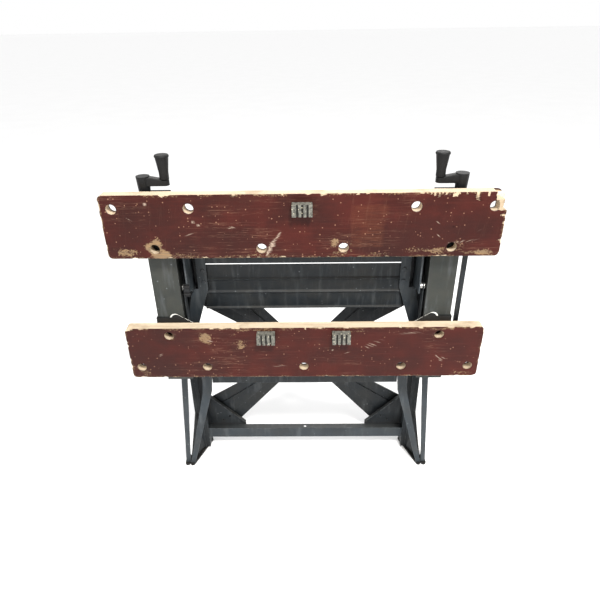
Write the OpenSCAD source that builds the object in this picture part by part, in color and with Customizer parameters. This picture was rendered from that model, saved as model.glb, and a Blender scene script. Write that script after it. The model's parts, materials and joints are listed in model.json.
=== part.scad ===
// Folding workbench and sawhorse, shown folded flat and standing on its feet.
// X runs along the jaws, +Y points away from the jaw faces, +Z is up and the floor is at Z = 0.

/* [Overall] */
// Height of the fixed jaw's upper edge above the floor, folded
fold_h = 740; // [720:1:900]
// Distance between the two clamping screws
screw_span = 602; // [560:1:640]
// Distance of each screw outboard of its channel's middle
screw_off = 17; // [0:1:18]

/* [Jaws] */
// Length of each jaw
jaw_len = 757; // [620:1:920]
// Width of each jaw
jaw_w = 127; // [110:1:140]
// Thickness of each jaw
jaw_t = 25; // [20:0.5:30]
// Gap between the jaws
jaw_gap = 161; // [60:1:170]
// Radius of the jaw corners
jaw_corner = 9; // [2:0.5:12]
// Diameter of the dog holes
dog_d = 20; // [14:0.5:24]
// Distance from a jaw's outer edge to its outer row of holes
outer_row = 27; // [22:1:34]
// Distance from a jaw's inner edge to its inner row of holes
inner_row = 19; // [16:1:30]
// Distance of the end holes from the jaw's ends
end_hole = 22; // [15:1:40]
// Distance of the middle pair of outer holes from the centre
mid_hole = 212; // [120:1:225]
// Distance of the inner row's near pair from the centre
near_hole = 79; // [50:1:90]
// Distance of the inner row's far pair from the centre
far_hole = 286; // [200:1:300]

/* [Swivel pegs] */
// Length of a peg's ribbed block
peg_w = 38; // [30:1:44]
// Breadth of a peg's block
peg_b = 23; // [18:1:28]
// Height of a peg above the jaw's face
peg_h = 20; // [14:1:28]
// Running clearance on a peg's stem
peg_clear = 0.4; // [0.3:0.1:0.6]

/* [Channels] */
// Width of a channel
ch_w = 56; // [54:1:60]
// Depth of a channel
ch_d = 35; // [32:1:44]
// Length of a channel
ch_len = 430; // [410:1:480]
// Sheet thickness of the channels
ch_t = 2; // [1.5:0.5:3]
// Gap between the jaws' backs and the channels' faces
face_gap = 4; // [4:0.5:6]

/* [Screws and cranks] */
// Diameter of the screws
screw_d = 12; // [10:0.5:14]
// Radial clearance on the screws
screw_clear = 0.1; // [0.05:0.05:0.1]
// Radius of a crank, from the screw to its knob
crank_r = 41; // [36:1:52]
// Diameter of a crank's hub
hub_d = 24; // [20:1:28]
// Height of a crank's hub
hub_h = 32; // [28:1:38]
// Height of a crank's knob
knob_h = 47; // [34:1:56]
// Knob diameter at its top
knob_top_d = 28; // [22:1:32]
// Knob diameter at its foot
knob_foot_d = 18; // [15:1:22]

/* [Folding] */
// Drop of the fold pivot below the fixed jaw's upper edge
pivot_drop = 70; // [66:1:80]
// Distance of the fold pivot behind the jaw faces
pivot_y = 47; // [44:1:52]
// Diameter of the fold pivot bolts
pivot_d = 10; // [8:0.5:12]
// Distance from the fold pivot down to the stays' pins
stay_drop = 145; // [120:1:160]
// Length of a side stay between its pins
stay_len = 185; // [165:1:200]
// Width of a side stay
stay_w = 18; // [15:1:22]

/* [Leg frames] */
// Sheet thickness of the legs and plates
leg_t = 2; // [1.5:0.5:3]
// Distance of the feet's front ends behind the jaw faces
foot_front = 50; // [40:1:60]
// Distance of the feet's back ends behind the jaw faces
foot_back = 143; // [130:1:160]
// Depth of the main legs' channel section
leg_d = 38; // [30:1:44]
// Width of the main legs' channel section
leg_w = 30; // [26:1:38]
// Width of the narrow strips on the frames
strip_w = 21; // [14:1:26]
// Height of the step bar above the floor
step_z = 38; // [12:1:60]
// Height of the step bar's face
step_h = 30; // [24:1:44]
// Height of the apron plate
apron_h = 105; // [90:1:120]
// Height of the shoes under the legs
shoe_h = 6; // [4:1:8]

/* [Lock bar] */
// Width of the lock bar
lock_w = 9; // [7:1:12]
// Thickness of the lock bar
lock_t = 9; // [4:1:10]
// Length of the lock bar
lock_len = 245; // [200:1:260]

/* [Hidden] */
$fn = 48;

// Film-faced plywood, its bare edge, leg paint, strip paint, channel paint, black fittings, zinc and nylon
ply_red = "#5a2620";
leg_blue = "#3f4a52";
strip_blue = "#5c6a72";
channel_olive = "#4d504b";
fitting_black = "#1c1c1e";
zinc = "#a8a9a6";
nylon = "#d8d8d2";
peg_grey = "#77786f";

// Sizes in depth run back from the jaw faces.
// The whole is then moved so that the origin lies under its middle.
leg_y = foot_back + 7 - leg_d;
leg_back = leg_y + leg_d;
brace_gap = 5;
brace_head = 3;
rivet_end = leg_back + brace_gap + leg_t + brace_head;
mid_y = (rivet_end - peg_h) / 2;

screw_x = screw_span / 2;
ch_x = screw_x - screw_off;
ch_y = jaw_t + face_gap;
ch_back = ch_y + ch_d;
screw_y = ch_y + 16;
ch_in = ch_x - ch_w / 2;
ch_out = ch_x + ch_w / 2;
ch_top = fold_h - 12;
moving_z = fold_h - 2 * jaw_w - jaw_gap;
moving_top = moving_z + jaw_w;
pivot_z = fold_h - pivot_drop;

// Layers beside a channel, from the channel inwards
stay_gap = 4;
stay_x = ch_in - stay_gap - leg_t;
head_t = 3;
main_head_x = stay_x - 1.5 - head_t;
swing_head_x = main_head_x - 2 - head_t;
head_r = 15;

// Main legs stand behind the channels
leg_off = 8;
leg_x = main_head_x + head_t + leg_off;
leg_top = pivot_z - 85;

// Swing legs: the strip's centre line runs straight down, then splays to the foot
strip_y = ch_back + 18;
web_y = strip_y + 20;
strip_x = swing_head_x - strip_w / 2 - 10.5;
strip_top = pivot_z - 25;
bend_z = pivot_z - 168;
knee_z = pivot_z - 380;
knee_x = ch_x + 2;
swing_foot_x = ch_x + 22;
lap = 5;
swing_lean = atan((strip_y - foot_front - 6) / (bend_z - shoe_h));

// Foot struts splay from the cross bar to the front of the main shoes
strut_top_z = pivot_z - 370;
strut_bend_z = pivot_z - 455;
strut_x = ch_x - 51;
strut_shift = 7;
strut_foot_x = ch_x + 10;
strut_y = leg_y - 27;
strut_lean = atan((strut_y - foot_front - 4) / (strut_top_z - shoe_h));

apron_top = pivot_z - 111;
bar_h = 20;
bar_gap = 4;
bar_top = apron_top + bar_gap + bar_h;
cross_z = pivot_z - 430;
brace_z = pivot_z - 385;
nut_z = moving_top - 14;
nut_d = 17;
crank_z = ch_top + 4;
thrust_t = 3;
rivet_d = 9;
shank_d = 6;
pin_d = 8;
fit = 0.1;

module placed() {
    translate([0, -mid_y, 0]) children();
}

// Draws the right-hand part, or its mirror image on the left
module on_side(s) {
    placed() mirror([s < 0 ? 1 : 0, 0, 0]) children();
}

// A front-view outline in X and Z, given a thickness from y towards the back
module front_plate(y, t) {
    translate([0, y + t, 0]) rotate([90, 0, 0]) linear_extrude(t) children();
}

// A side-view outline in Y and Z, given a thickness from x outwards
module side_plate(x, t) {
    translate([x, 0, 0]) rotate([90, 0, 90]) linear_extrude(t) children();
}

module rod_x(x0, x1, y, z, d) {
    translate([x0, y, z]) rotate([0, 90, 0]) cylinder(d = d, h = x1 - x0);
}

module rod_y(x, y0, y1, z, d) {
    translate([x, y0, z]) rotate([-90, 0, 0]) cylinder(d = d, h = y1 - y0);
}

// A band between two points of an outline's plane, with round ends
module band(a, b, w) {
    d = b - a;
    translate(a) rotate(atan2(d[1], d[0])) union() {
        translate([0, -w / 2]) square([norm(d), w]);
        circle(d = w);
        translate([norm(d), 0]) circle(d = w);
    }
}

// ---------------------------------------------------------------- jaws and pegs

// A jaw board lies in X and Z; up = 1 puts the outer row at its upper edge
module jaw_board(z, up) {
    outer_z = up > 0 ? z + jaw_w - outer_row : z + outer_row;
    inner_z = up > 0 ? z + inner_row : z + jaw_w - inner_row;
    end_x = jaw_len / 2 - end_hole;
    difference() {
        front_plate(0, jaw_t) jaw_outline(z);
        for (x = [-end_x, -mid_hole, 0, mid_hole, end_x]) rod_y(x, -1, jaw_t + 1, outer_z, dog_d);
        for (x = [-far_hole, -near_hole, near_hole, far_hole]) rod_y(x, -1, jaw_t + 1, inner_z, dog_d);
    }
}

module jaw_outline(z) {
    l = jaw_len / 2;
    r = jaw_corner;
    union() {
        translate([-l, z + r]) square([jaw_len, jaw_w - 2 * r]);
        translate([-l + r, z]) square([jaw_len - 2 * r, jaw_w]);
        for (x = [-l + r, l - r], zc = [z + r, z + jaw_w - r]) translate([x, zc]) circle(r = r);
    }
}

module fixed_jaw() {
    color(ply_red) placed() jaw_board(fold_h - jaw_w, 1);
}

module moving_jaw() {
    color(ply_red) placed() jaw_board(moving_z, -1);
}

// A ribbed block on a stem that turns in a dog hole
module peg(x, z) {
    stem_d = dog_d - 2 * peg_clear;
    rib_step = peg_w / 8;
    lift = 0.4;
    color(peg_grey) placed() union() {
        difference() {
            translate([x - peg_w / 2, -peg_h, z - peg_b / 2]) cube([peg_w, peg_h - lift, peg_b]);
            for (i = [1:3]) {
                translate([x - peg_w / 2 + (2 * i - 0.3) * rib_step, -peg_h - 1, z - peg_b / 2 - 1])
                    cube([rib_step * 0.8, 5, peg_b + 2]);
            }
        }
        rod_y(x, -lift - 1, jaw_t - 3, z, stem_d);
    }
}

module peg_upper() {
    peg(0, fold_h - outer_row);
}

module peg_lower(s) {
    peg(s * near_hole, moving_top - inner_row);
}

// ---------------------------------------------------------------- channels and their fittings

// Closed towards the jaws and open to the back, with the stay's slot in its inner wall
module channel(s) {
    slot_w = 9;
    slot_near = pivot_z - 160;
    slot_far = pivot_z - stay_drop - stay_len - 6;
    color(channel_olive) on_side(s) difference() {
        translate([ch_in, ch_y, ch_top - ch_len]) cube([ch_w, ch_d, ch_len]);
        translate([ch_in + ch_t, ch_y + ch_t, ch_top - ch_len - 1])
            cube([ch_w - 2 * ch_t, ch_d, ch_len + 2]);
        rod_x(ch_in - 1, ch_in + ch_t + 1, pivot_y, pivot_z, pivot_d + 0.4);
        translate([ch_in - 1, pivot_y - slot_w / 2, slot_far]) cube([ch_t + 2, slot_w, slot_near - slot_far]);
    }
}

// Closes a channel's end, carries the screw and spaces the fixed jaw off the channel's face
module thrust_plate(s) {
    foot_h = 46;
    color(fitting_black) on_side(s) difference() {
        union() {
            translate([ch_in, jaw_t, ch_top]) cube([ch_w, face_gap + ch_d, thrust_t]);
            translate([ch_in, jaw_t, ch_top + thrust_t - foot_h]) cube([ch_w, face_gap, foot_h]);
        }
        translate([screw_x, screw_y, ch_top - 1]) cylinder(d = screw_d + 2 * screw_clear, h = thrust_t + 2);
    }
}

bolt_d = 11;
bolt_h = 4;

// Round-headed bolts inside the channels that hold the fixed jaw
module fixed_jaw_bolts() {
    y = ch_y + ch_t;
    bolt_dx = 14;
    color(zinc) placed() for (s = [-1, 1], dx = [-bolt_dx, bolt_dx])
        rod_y(s * ch_x + dx, y, y + bolt_h, ch_top - 30, bolt_d);
}

saddle_t = 1.5;
saddle_z = moving_top - 62;
saddle_h = 74;
saddle_side = ch_out + 0.5;
saddle_back = ch_back + 1;
tab_w = 20;
ear_tip = [ch_in + 16, moving_top + 8];
ear_foot = [ch_in - 18, moving_top - 14];
ear_w = 22;

// Bracket that wraps round a channel from the moving jaw to the nut, with an ear leaning above the jaw
module saddle(s) {
    wrap_t = 2;
    color(fitting_black) on_side(s) difference() {
        union() {
            translate([ch_in - 2, jaw_t, saddle_z]) cube([saddle_side + 2 - ch_in, saddle_t, saddle_h]);
            translate([saddle_side, jaw_t, saddle_z]) cube([wrap_t, saddle_back + wrap_t - jaw_t, saddle_h]);
            translate([screw_x - 12, saddle_back, saddle_z])
                cube([saddle_side + wrap_t - screw_x + 12, wrap_t, saddle_h]);
            translate([saddle_side, jaw_t, saddle_z]) cube([tab_w, saddle_t, 44]);
            front_plate(jaw_t, saddle_t) band(ear_tip, ear_foot, ear_w);
        }
        rod_y(screw_x, saddle_back - 1, saddle_back + wrap_t + 1, nut_z, pin_d + fit);
    }
}

// Nylon pad between an ear and its channel, showing past the ear's outer edge
module glide(s) {
    show = [3, 1];
    color(nylon) on_side(s) front_plate(jaw_t + saddle_t, 2) band(ear_tip + show, ear_foot + show, ear_w);
}

module moving_jaw_bolts() {
    y = jaw_t + saddle_t;
    color(zinc) placed() for (s = [-1, 1], dz = [12, 32])
        rod_y(s * (saddle_side + tab_w / 2 + 2), y, y + bolt_h, saddle_z + dz, bolt_d);
}

// Barrel nut inside a channel, held by its stem in the saddle's back and riding along the screw
module swivel_nut(s) {
    half = 12;
    color(zinc) on_side(s) difference() {
        union() {
            rod_y(screw_x, screw_y - half, screw_y + half, nut_z, nut_d);
            rod_y(screw_x, screw_y + half, saddle_back + 3, nut_z, pin_d);
        }
        translate([screw_x, screw_y, nut_z - nut_d]) cylinder(d = screw_d + 2 * screw_clear, h = 2 * nut_d);
    }
}

// ---------------------------------------------------------------- screws and cranks

module screw(s) {
    color(zinc) on_side(s) union() {
        translate([screw_x, screw_y, ch_top - ch_len + 6]) cylinder(d = screw_d, h = ch_len + hub_h - 6);
        translate([screw_x, screw_y, ch_top - 5.5]) cylinder(d = screw_d + 4, h = 5);
    }
}

arm_foot = 17;
arm_t = 10;
arm_low = 14;
arm_tip_z = crank_z + arm_low + arm_t;

// Flared hub on the screw, with an arm whose upper edge falls towards the knob
module crank(s) {
    color(fitting_black) on_side(s) difference() {
        union() {
            translate([screw_x, screw_y, crank_z]) cylinder(d1 = hub_d - 2, d2 = hub_d + 2, h = hub_h);
            translate([screw_x, screw_y, crank_z + arm_low]) hull() {
                cylinder(d = 18, h = hub_h - arm_low - 1, $fn = 32);
                translate([-crank_r, 0, 0]) cylinder(d = arm_foot, h = arm_t, $fn = 32);
            }
        }
        translate([screw_x, screw_y, crank_z - 1]) cylinder(d = screw_d + fit, h = hub_h - 3);
        translate([screw_x - crank_r, screw_y, crank_z - 1]) cylinder(d = shank_d + fit, h = 30);
        translate([screw_x - crank_r, screw_y, arm_tip_z]) cylinder(d = knob_foot_d + 1, h = hub_h);
    }
}

module knob_pin(s) {
    color(zinc) on_side(s) translate([screw_x - crank_r, screw_y, arm_tip_z - arm_t])
        cylinder(d = shank_d, h = arm_t + knob_h - 6);
}

// Flared grip that spins on its pin
module knob(s) {
    z0 = arm_tip_z + 0.4;
    color(fitting_black) on_side(s) translate([screw_x - crank_r, screw_y, z0]) rotate_extrude() polygon([
        [3.1, 0], [knob_foot_d / 2 - 1, 0], [knob_foot_d / 2, 1.5], [knob_foot_d / 2, knob_h * 0.3],
        [knob_top_d / 2 - 1.5, knob_h - 6], [knob_top_d / 2, knob_h - 3], [knob_top_d / 2 - 1.5, knob_h],
        [0, knob_h], [0, knob_h - 5], [3.1, knob_h - 5]
    ]);
}

// ---------------------------------------------------------------- main frame

// Leg of channel section, open to the back, with a pressed ridge down its face
module main_leg(s) {
    web_h = 120;
    color(leg_blue) on_side(s) union() {
        difference() {
            translate([leg_x, leg_y, shoe_h]) cube([leg_w, leg_d, leg_top - shoe_h]);
            translate([leg_x + leg_t, leg_y + leg_t, shoe_h - 1]) cube([leg_w - 2 * leg_t, leg_d, leg_top]);
            frame_rivet_bores(leg_x - 1, leg_x + leg_t + 1);
        }
        translate([leg_x + leg_w * 0.36, leg_y - 3, shoe_h]) cube([leg_w * 0.28, 3, leg_top - shoe_h - 25]);
        hull() {
            translate([strut_foot_x + 3, foot_front + 12, shoe_h]) cylinder(d = 2.5, h = 6, $fn = 16);
            translate([leg_x + 1.5, foot_back - 3, shoe_h]) cylinder(d = 2.5, h = 6, $fn = 16);
            translate([leg_x + leg_w - 1.5, leg_y + 1, web_h]) cylinder(d = 2.5, h = 6, $fn = 16);
        }
    }
}

// Dog-leg plate from the fold pivot back to the top of a main leg, with a thick foot beside the leg
module main_head(s) {
    foot_h = 75;
    color(leg_blue) on_side(s) difference() {
        union() {
            side_plate(main_head_x, head_t) polygon([
                for (a = [40:20:220]) [pivot_y + head_r * cos(a), pivot_z + head_r * sin(a)],
                [leg_y + 4, leg_top - foot_h],
                [leg_back, leg_top - foot_h],
                [leg_back, leg_top]
            ]);
            translate([main_head_x, leg_y + 5, leg_top - foot_h])
                cube([head_t + leg_off, leg_d - 5, foot_h - 8]);
        }
        rod_x(main_head_x - 1, main_head_x + head_t + 1, pivot_y, pivot_z, pivot_d + fit);
        frame_rivet_bores(main_head_x - 1, leg_x + 1);
    }
}

rivet_drops = [22, 52];
rivet_y = leg_y + leg_d / 2;

module frame_rivet_bores(x0, x1) {
    for (dz = rivet_drops) rod_x(x0, x1, rivet_y, leg_top - dz, shank_d + fit);
}

module lean(y, z, angle) {
    translate([0, y, z]) rotate([-angle, 0, 0]) translate([0, 0, -z]) children();
}

// Takes away whatever hangs below the shoes' tops
module stand_on_shoes() {
    difference() {
        children();
        translate([0, 0, -50]) cube([jaw_len, 2 * leg_back, 50 + shoe_h]);
    }
}

// Folded strip from the cross bar, splaying out to the front of the shoe
module foot_strut(s) {
    flange = 14;
    tie_h = 24;
    foot_w = strip_w * 0.55;
    in_top = strut_x - strip_w / 2;
    in_bend = in_top + strut_shift;
    in_foot = strut_foot_x - foot_w / 2;
    color(strip_blue) on_side(s) union() {
        stand_on_shoes() lean(strut_y, strut_top_z, strut_lean) {
            front_plate(0, leg_t) polygon([
                [in_top, strut_top_z], [in_top + strip_w, strut_top_z],
                [in_bend + strip_w, strut_bend_z], [in_foot + foot_w, 0],
                [in_foot, 0], [in_bend, strut_bend_z]
            ]);
            front_plate(leg_t, flange) polygon([
                [in_top, strut_top_z], [in_top + leg_t, strut_top_z],
                [in_bend + leg_t, strut_bend_z], [in_foot + leg_t, 0],
                [in_foot, 0], [in_bend, strut_bend_z]
            ]);
        }
        translate([strut_x, strut_y, strut_top_z - tie_h]) cube([leg_x - strut_x + leg_t, leg_t, tie_h]);
        translate([leg_x, strut_y, strut_top_z - tie_h]) cube([leg_t, leg_y - strut_y, tie_h]);
    }
}

// Moulded shoe on the floor, set across the leg
module main_shoe(s) {
    color(fitting_black) on_side(s) hull() {
        translate([strut_foot_x, foot_front + 5, 0]) cylinder(d = 12, h = shoe_h, $fn = 32);
        translate([leg_x + 5, foot_back - 1, 0]) cylinder(d = 14, h = shoe_h, $fn = 32);
        translate([leg_x + leg_w - 8, foot_back - 1, 0]) cylinder(d = 14, h = shoe_h, $fn = 32);
    }
}

// Angle bar low between the legs, with a sloping tread
module step_bar() {
    tread = 20;
    y = leg_y + leg_t;
    top = step_z + step_h;
    fall = 3;
    color(strip_blue) placed() difference() {
        side_plate(-leg_x, 2 * leg_x) polygon([
            [y, step_z], [y + leg_t, step_z], [y + leg_t, top - leg_t],
            [y + tread, top - fall - leg_t], [y + tread, top - fall], [y, top]
        ]);
        translate([0, y + tread / 2, top - 10]) cylinder(d = 7, h = 20);
    }
}

// Bar between the struts, as long as their gap at its upper edge
module cross_bar() {
    h = 30;
    y = strut_y + leg_t + 1;
    fall = (strut_top_z - cross_z - h) / (strut_top_z - strut_bend_z);
    end = strut_x - strip_w / 2 + strut_shift * fall;
    color(leg_blue) placed() side_plate(-end, 2 * end) polygon([
        [y, cross_z], [y + leg_t, cross_z], [y + leg_t, cross_z + h - 6],
        [y + 16, cross_z + h - 2], [y + 16, cross_z + h], [y, cross_z + h - 4]
    ]);
}

// Corner plate between a leg and the step bar, with a folded edge and two holes
module gusset(s) {
    g_y = leg_back - 8;
    hi = step_z + step_h + 98;
    lo = step_z + step_h + 2;
    in_x = ch_x - 124;
    color(leg_blue) on_side(s) difference() {
        union() {
            front_plate(g_y, leg_t) polygon([[leg_x, hi], [leg_x, lo - 20], [in_x, lo - 20], [in_x, lo]]);
            front_plate(g_y - 7, 8) polygon([[leg_x, hi], [leg_x, hi - 3], [in_x, lo - 3], [in_x, lo]]);
        }
        rod_y(in_x + 42, g_y - 8, g_y + 5, lo + 16, 6);
        rod_y(in_x + 60, g_y - 8, g_y + 5, lo + 4, 6);
    }
}

brace_angle = 40;
brace_hub = 24;
brace_r = 345;
brace_end = 124;
brace_h = 450;

// Bow-tie plate with two pressed ridges, clipped to the backs of the legs
module brace_arm(lift, angle) {
    half = brace_end / 2;
    ridge_r = brace_r - 40;
    difference() {
        union() {
            brace_clip(leg_x + leg_w, lift, angle) polygon([
                [-brace_r, -half], [0, -brace_hub / 2], [brace_r, -half],
                [brace_r, half], [0, brace_hub / 2], [-brace_r, half]
            ]);
            for (s = [-1, 1]) brace_clip(leg_x - 8, lift - 2.5, angle)
                polygon([[s * 34, 0], [s * ridge_r, -24], [s * ridge_r, 24]]);
        }
        rod_y(0, lift - 3, lift + leg_t + 1, brace_z, pin_d + fit);
    }
}

// A turned outline of plate thickness at y, kept within reach of the middle
module brace_clip(reach, y, angle) {
    intersection() {
        translate([0, y, brace_z]) rotate([0, -angle, 0]) front_plate(0, leg_t + 0.5) children();
        translate([-reach, leg_y, brace_z - brace_h / 2])
            cube([2 * reach, leg_d + brace_gap + leg_t, brace_h]);
    }
}

module brace_rising() {
    color(leg_blue) placed() difference() {
        brace_arm(leg_back, brace_angle);
        translate([-leg_x - leg_w, leg_back + leg_t, 0]) cube([2 * (leg_x + leg_w), 1, fold_h]);
    }
}

// The outer brace plate stands off the legs on pads at its two ends
module brace_falling() {
    pad_h = 70;
    low = brace_z - brace_h / 2 + 6;
    color(leg_blue) placed() union() {
        brace_arm(leg_back + brace_gap, -brace_angle);
        translate([leg_x, leg_back, low]) cube([leg_w, brace_gap, pad_h]);
        translate([-leg_x - leg_w, leg_back, 2 * brace_z - low - pad_h]) cube([leg_w, brace_gap, pad_h]);
    }
}

module brace_rivet() {
    outer = leg_back + brace_gap + leg_t;
    head_d = 14;
    color(zinc) placed() union() {
        rod_y(0, leg_back - brace_head, leg_back, brace_z, head_d);
        rod_y(0, leg_back, outer, brace_z, pin_d);
        rod_y(0, leg_back + leg_t + 0.2, leg_back + brace_gap - 0.2, brace_z, head_d);
        rod_y(0, outer, rivet_end, brace_z, head_d);
    }
}

// Rivets through the heads and the legs
module frame_rivets() {
    head_h = 2;
    flange_x = leg_x + leg_t;
    color(zinc) placed() for (s = [-1, 1], dz = rivet_drops) mirror([s < 0 ? 1 : 0, 0, 0]) {
        rod_x(main_head_x - head_h, main_head_x, rivet_y, leg_top - dz, rivet_d);
        rod_x(main_head_x, flange_x, rivet_y, leg_top - dz, shank_d);
        rod_x(flange_x, flange_x + head_h, rivet_y, leg_top - dz, rivet_d);
    }
}

// Bolt on which the top and both leg frames turn
module pivot_bolt(s) {
    color(zinc) on_side(s) union() {
        rod_x(swing_head_x - 1, ch_in + ch_t + 6, pivot_y, pivot_z, pivot_d);
        rod_x(swing_head_x - 6, swing_head_x - 0.5, pivot_y, pivot_z, 17);
        rod_x(ch_in + ch_t + 0.5, ch_in + ch_t + 6, pivot_y, pivot_z, 17);
        rod_x(main_head_x + head_t, ch_in - 0.5, pivot_y, pivot_z, 18);
    }
}

// ---------------------------------------------------------------- swing frame

// Pressed leg: a side plate at the pivot, a raised strip in front and a splayed lower blade
module swing_leg(s) {
    half = strip_w / 2;
    blade = 7.5;
    foot = 5.5;
    blade_depth = 22;
    edge = swing_head_x + head_t;
    color(strip_blue) on_side(s) difference() {
        union() {
            front_plate(strip_y, leg_t) polygon([
                [strip_x - half, strip_top], [strip_x + half, strip_top], [strip_x + half, bend_z],
                [strip_x - half, bend_z]
            ]);
            translate([strip_x + half - leg_t, strip_y, bend_z])
                cube([leg_t, web_y - strip_y + leg_t, strip_top - bend_z]);
            translate([strip_x + half - leg_t, web_y, bend_z])
                cube([edge - strip_x - half + leg_t, leg_t, strip_top - bend_z]);
            side_plate(swing_head_x, head_t) polygon([
                for (a = [40:20:180]) [pivot_y + head_r * cos(a), pivot_z + head_r * sin(a)],
                [pivot_y - 12, pivot_z - stay_drop - 12], [pivot_y + 12, pivot_z - stay_drop - 12],
                [strip_y, bend_z - lap], [web_y + leg_t, bend_z - lap], [web_y + leg_t, strip_top]
            ]);
            stand_on_shoes() lean(strip_y, bend_z, swing_lean) {
                front_plate(0, leg_t) polygon([
                    [strip_x - half, bend_z + 1], [edge, bend_z + 1], [knee_x + blade, knee_z],
                    [swing_foot_x + foot, 0], [swing_foot_x - foot, 0], [knee_x - blade, knee_z]
                ]);
                front_plate(0, blade_depth) polygon([
                    [edge - leg_t, bend_z + 1], [edge, bend_z + 1], [knee_x + blade, knee_z],
                    [swing_foot_x + foot, 0], [swing_foot_x + foot - leg_t, 0],
                    [knee_x + blade - leg_t, knee_z]
                ]);
            }
        }
        rod_x(swing_head_x - 1, edge + 1, pivot_y, pivot_z, pivot_d + 0.2);
    }
}

module swing_shoe(s) {
    color(fitting_black) on_side(s) hull() {
        translate([swing_foot_x + 1, foot_front + 6, 0]) cylinder(d = 13, h = shoe_h, $fn = 32);
        translate([swing_foot_x + 1, foot_front + 26, 0]) cylinder(d = 13, h = shoe_h, $fn = 32);
    }
}

// Wide plate between the swing legs, pressed with two forward ridges
module apron_plate() {
    y = strip_y + leg_t;
    h = apron_h;
    t = leg_t;
    z = apron_top - h;
    end = strip_x - 1;
    color(leg_blue) placed() side_plate(-end, 2 * end) polygon([
        [y, z], [y + 4, z + 2], [y + 4, z + h * 0.33], [y, z + h * 0.37], [y + 4, z + h * 0.41],
        [y + 4, z + h * 0.63], [y, z + h * 0.67], [y + 4, z + h * 0.71], [y + 4, z + h],
        [y + 4 + t, z + h], [y + 4 + t, z + h * 0.71],
        [y + 4 + t, z + 2], [y + 4 + t, z - 2], [y, z - 2]
    ]);
}

module upper_bar() {
    y = strip_y + leg_t;
    end = strip_x + 1;
    color(leg_blue) placed() side_plate(-end, 2 * end) polygon([
        [y, bar_top - bar_h], [y + leg_t, bar_top - bar_h], [y + leg_t, bar_top - leg_t],
        [y + 16, bar_top - leg_t], [y + 16, bar_top], [y, bar_top]
    ]);
}

module apron_rivets() {
    color(zinc) placed() for (s = [-1, 1], dz = [-12, -40])
        rod_y(s * (strip_x - 3), strip_y - 2, strip_y, apron_top + dz, rivet_d);
}

// Pin on a swing leg that carries the side stay
module stay_pin(s) {
    z = pivot_z - stay_drop;
    color(zinc) on_side(s) union() {
        rod_x(swing_head_x + head_t, stay_x - 0.4, pivot_y, z, 12);
        rod_x(stay_x - 0.4, stay_x + leg_t + 0.4, pivot_y, z, pin_d);
        rod_x(stay_x + leg_t + 0.4, stay_x + leg_t + 2, pivot_y, z, 13);
    }
}

// ---------------------------------------------------------------- side stays and lock bar

module stay(s) {
    z = pivot_z - stay_drop;
    color(leg_blue) on_side(s) difference() {
        side_plate(stay_x, leg_t) band([pivot_y, z], [pivot_y, z - stay_len], stay_w);
        rod_x(stay_x - 1, stay_x + leg_t + 1, pivot_y, z, pin_d + 2 * fit);
        rod_x(stay_x - 1, stay_x + leg_t + 1, pivot_y, z - stay_len, pin_d + fit);
    }
}

module slide_pin(s) {
    color(zinc) on_side(s) rod_x(stay_x - 1.2, ch_in - 0.5, pivot_y, pivot_z - stay_drop - stay_len, pin_d);
}

// Knuckled clip on the front edge of the left swing leg, beside its stay's pin
module stay_clip() {
    z = pivot_z - stay_drop;
    plate_y = pivot_y - 12.5;
    barrel = 5.4;
    clear = 0.5;
    color(fitting_black) on_side(-1) union() {
        translate([swing_head_x - 3, plate_y - 2, z - 14]) cube([stay_x - clear - swing_head_x + 3, 2, 28]);
        for (dz = [-8, 9]) rod_x(swing_head_x - 5, stay_x - clear, plate_y - barrel / 2, z + dz, barrel);
    }
}

lock_x = ch_out + 14;
lock_y = screw_y + 2;
lock_top = fold_h - 100;
stud_neck = 6;

module lock_bar() {
    color(leg_blue) placed() difference() {
        side_plate(lock_x, lock_t) band([lock_y, lock_top], [lock_y, lock_top - lock_len], lock_w);
        rod_x(lock_x - 1, lock_x + lock_t + 1, lock_y, lock_top, stud_neck + 2 * fit);
    }
}

module lock_stud() {
    play = 0.4;
    color(zinc) placed() union() {
        rod_x(ch_out, lock_x - play, lock_y, lock_top, bolt_d);
        rod_x(lock_x - play, lock_x + lock_t + play, lock_y, lock_top, stud_neck);
        rod_x(lock_x + lock_t + play, lock_x + lock_t + 3, lock_y, lock_top, bolt_d);
    }
}

main_leg(-1);  // main_leg_left
main_leg(1);  // main_leg_right
main_head(-1);  // main_head_left
main_head(1);  // main_head_right
foot_strut(-1);  // foot_strut_left
foot_strut(1);  // foot_strut_right
main_shoe(-1);  // main_shoe_left
main_shoe(1);  // main_shoe_right
step_bar();
cross_bar();
gusset(-1);  // gusset_left
gusset(1);  // gusset_right
brace_rising();
brace_falling();
brace_rivet();
frame_rivets();
pivot_bolt(-1);  // pivot_bolt_left
pivot_bolt(1);  // pivot_bolt_right
swing_leg(-1);  // swing_leg_left
swing_leg(1);  // swing_leg_right
apron_plate();
upper_bar();
swing_shoe(-1);  // swing_shoe_left
swing_shoe(1);  // swing_shoe_right
apron_rivets();
stay_pin(-1);  // stay_pin_left
stay_pin(1);  // stay_pin_right
channel(-1);  // channel_left
channel(1);  // channel_right
fixed_jaw();
fixed_jaw_bolts();
thrust_plate(-1);  // thrust_plate_left
thrust_plate(1);  // thrust_plate_right
moving_jaw();
moving_jaw_bolts();
saddle(-1);  // saddle_left
saddle(1);  // saddle_right
swivel_nut(-1);  // swivel_nut_left
swivel_nut(1);  // swivel_nut_right
glide(-1);  // glide_left
glide(1);  // glide_right
screw(-1);  // screw_left
screw(1);  // screw_right
crank(-1);  // crank_left
crank(1);  // crank_right
knob_pin(-1);  // knob_pin_left
knob_pin(1);  // knob_pin_right
knob(-1);  // knob_left
knob(1);  // knob_right
peg_upper();
peg_lower(-1);  // peg_lower_left
peg_lower(1);  // peg_lower_right
stay(-1);  // stay_left
stay(1);  // stay_right
slide_pin(-1);  // slide_pin_left
slide_pin(1);  // slide_pin_right
stay_clip();
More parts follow.
